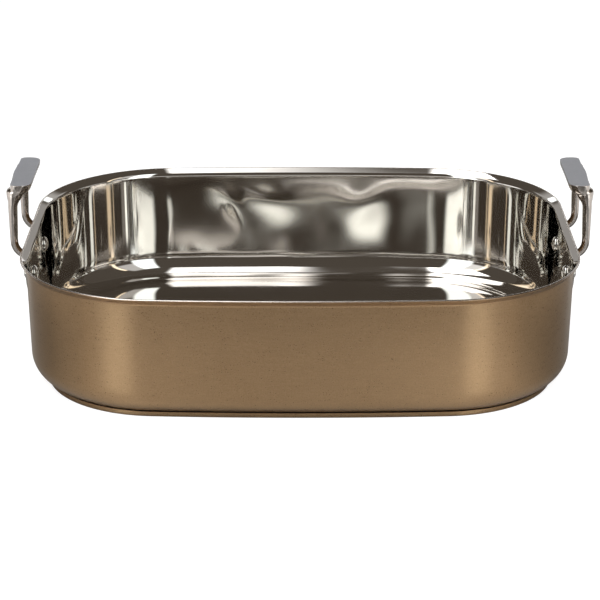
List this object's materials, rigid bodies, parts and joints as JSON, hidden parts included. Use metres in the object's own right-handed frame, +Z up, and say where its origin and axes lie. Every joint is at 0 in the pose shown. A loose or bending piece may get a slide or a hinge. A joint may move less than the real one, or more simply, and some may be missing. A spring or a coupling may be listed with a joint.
{
  "type": "roasting pan",
  "caption": "Deep rectangular roasting pan with a flared rim, satin bronze outside, mirror steel inside, and upright cast grips riveted to the short sides.",
  "frame": {"origin": "middle of the pan, on the surface that its base stands on", "axes": "+X along the pan to the right handle, +Y across it to the far long side, +Z up"},
  "size_m": [0.4276, 0.3298, 0.1378],
  "materials": {
    "satin_bronze": "satin, finely speckled bronze",
    "cast_steel": "polished casting with a matt planed top",
    "polished_steel": "mirror polished",
    "plain_aluminium": "plain rolled"
  },
  "bodies": {
    "root": {"pan_body": "satin_bronze", "base_cap": "satin_bronze", "base_core": "plain_aluminium", "left_handle": "cast_steel", "right_handle": "cast_steel", "rivet_left_front": "polished_steel", "rivet_left_back": "polished_steel", "rivet_right_front": "polished_steel", "rivet_right_back": "polished_steel"}
  },
  "joints": []
}
